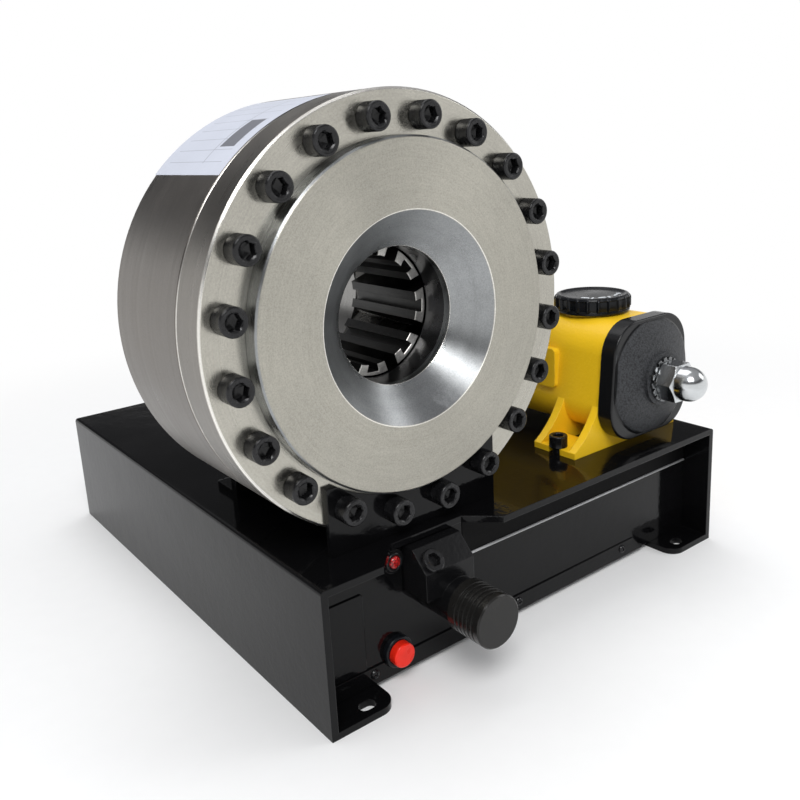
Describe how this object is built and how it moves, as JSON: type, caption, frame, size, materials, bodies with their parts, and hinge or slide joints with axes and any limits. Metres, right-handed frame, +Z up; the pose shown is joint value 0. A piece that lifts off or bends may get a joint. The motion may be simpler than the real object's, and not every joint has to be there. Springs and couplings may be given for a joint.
{
  "type": "hose crimping machine",
  "caption": "Bench hose crimping machine: round crimping head with a ring of dies in a funnel, hand pump with oil tank, control knob and push button on a folded base.",
  "frame": {"origin": "centre of the base footprint on the floor", "axes": "+Z up, front of the machine faces -Y, hand pump on the +X side"},
  "size_m": [0.448, 0.5423, 0.393],
  "materials": {
    "black_paint": "gloss",
    "ground_steel": "ground",
    "brushed_steel": "brushed",
    "die_steel": "ground",
    "black_oxide": "satin",
    "valve_black": "satin",
    "zinc": "plated",
    "chrome": "polished",
    "red_plastic": "gloss",
    "black_plastic": "matte",
    "seal_rubber": "matte",
    "yellow_paint": "satin",
    "pump_black": "satin"
  },
  "bodies": {
    "frame": {"base_housing": "black_paint", "front_panel": "black_paint", "rear_panel": "black_paint", "front_lip": "black_paint", "access_cover": "black_paint", "head_bracket": "black_paint", "rear_support": "black_paint", "ring_flange": "ground_steel", "cylinder_body": "ground_steel", "gland_ring": "ground_steel", "front_cone": "brushed_steel", "ring_bolts": "black_oxide", "gland_bolts": "black_oxide", "tank_bolts": "black_oxide", "pump_head_bolts": "black_oxide", "support_bolts": "black_oxide", "port_plug": "black_oxide", "lever_pin": "black_oxide", "valve_block": "valve_black", "panel_screws": "zinc", "button_nut": "zinc", "lens_bezel": "zinc", "pipe_nuts": "zinc", "oil_pipe": "zinc", "plunger_gland": "zinc", "tie_rod": "zinc", "acorn_nut": "chrome", "tie_washer": "chrome", "sight_lens": "red_plastic", "button_housing": "black_plastic", "filler_neck": "black_plastic", "tank_end_cap": "black_plastic", "flange_seal": "seal_rubber", "stem_seal": "seal_rubber", "cap_gasket": "seal_rubber", "tank_shell": "yellow_paint", "pump_head": "pump_black"},
    "piston": {"piston": "brushed_steel", "piston_seal": "seal_rubber"},
    "knob": {"adjusting_knob": "valve_black", "valve_spindle": "black_oxide"},
    "button": {"button_cap": "red_plastic"},
    "filler_cap": {"filler_cap": "black_plastic"},
    "lever": {"pump_lever": "pump_black"},
    "plunger": {"pump_plunger": "chrome"},
    "die_1": {"die_1": "die_steel"},
    "die_2": {"die_2": "die_steel"},
    "die_3": {"die_3": "die_steel"},
    "die_4": {"die_4": "die_steel"},
    "die_5": {"die_5": "die_steel"},
    "die_6": {"die_6": "die_steel"},
    "die_7": {"die_7": "die_steel"},
    "die_8": {"die_8": "die_steel"}
  },
  "joints": [
    {"name": "piston_slide", "type": "slide", "parent": "frame", "child": "piston", "axis": [0, -1, 0], "range_m": [0, 0.02]},
    {"name": "die_1_slide", "type": "slide", "parent": "frame", "child": "die_1", "axis": [-0.3714, -0.9285, 0], "range_m": [0, 0.01077]},
    {"name": "die_2_slide", "type": "slide", "parent": "frame", "child": "die_2", "axis": [-0.2626, -0.9285, 0.2626], "range_m": [0, 0.01077]},
    {"name": "die_3_slide", "type": "slide", "parent": "frame", "child": "die_3", "axis": [0, -0.9285, 0.3714], "range_m": [0, 0.01077]},
    {"name": "die_4_slide", "type": "slide", "parent": "frame", "child": "die_4", "axis": [0.2626, -0.9285, 0.2626], "range_m": [0, 0.01077]},
    {"name": "die_5_slide", "type": "slide", "parent": "frame", "child": "die_5", "axis": [0.3714, -0.9285, 0], "range_m": [0, 0.01077]},
    {"name": "die_6_slide", "type": "slide", "parent": "frame", "child": "die_6", "axis": [0.2626, -0.9285, -0.2626], "range_m": [0, 0.01077]},
    {"name": "die_7_slide", "type": "slide", "parent": "frame", "child": "die_7", "axis": [0, -0.9285, -0.3714], "range_m": [0, 0.01077]},
    {"name": "die_8_slide", "type": "slide", "parent": "frame", "child": "die_8", "axis": [-0.2626, -0.9285, -0.2626], "range_m": [0, 0.01077]},
    {"name": "knob_turn", "type": "hinge", "parent": "frame", "child": "knob", "pos_m": [-0.095, -0.238, 0.0575], "axis": [0, -1, 0], "range_deg": [-180, 180]},
    {"name": "button_push", "type": "slide", "parent": "frame", "child": "button", "axis": [0, 1, 0], "range_m": [0, 0.004], "stiffness_N_per_m": 500, "springref_m": -0.002},
    {"name": "filler_cap_turn", "type": "hinge", "parent": "frame", "child": "filler_cap", "pos_m": [0.139, -0.149, 0.208], "axis": [0, 0, 1], "range_deg": [0, 360]},
    {"name": "lever_swing", "type": "hinge", "parent": "frame", "child": "lever", "pos_m": [0.139, 0.1669, 0.22], "axis": [1, 0, 0], "range_deg": [0, 28]},
    {"name": "plunger_slide", "type": "slide", "parent": "frame", "child": "plunger", "axis": [0, 0, -1], "range_m": [0, 0.0184]}
  ],
  "couplings": [
    {"joint": "die_1_slide", "follows": "piston_slide", "ratio": 0.53852},
    {"joint": "die_2_slide", "follows": "piston_slide", "ratio": 0.53852},
    {"joint": "die_3_slide", "follows": "piston_slide", "ratio": 0.53852},
    {"joint": "die_4_slide", "follows": "piston_slide", "ratio": 0.53852},
    {"joint": "die_5_slide", "follows": "piston_slide", "ratio": 0.53852},
    {"joint": "die_6_slide", "follows": "piston_slide", "ratio": 0.53852},
    {"joint": "die_7_slide", "follows": "piston_slide", "ratio": 0.53852},
    {"joint": "die_8_slide", "follows": "piston_slide", "ratio": 0.53852},
    {"joint": "plunger_slide", "follows": "lever_swing", "m_per_rad": 0.0375}
  ]
}
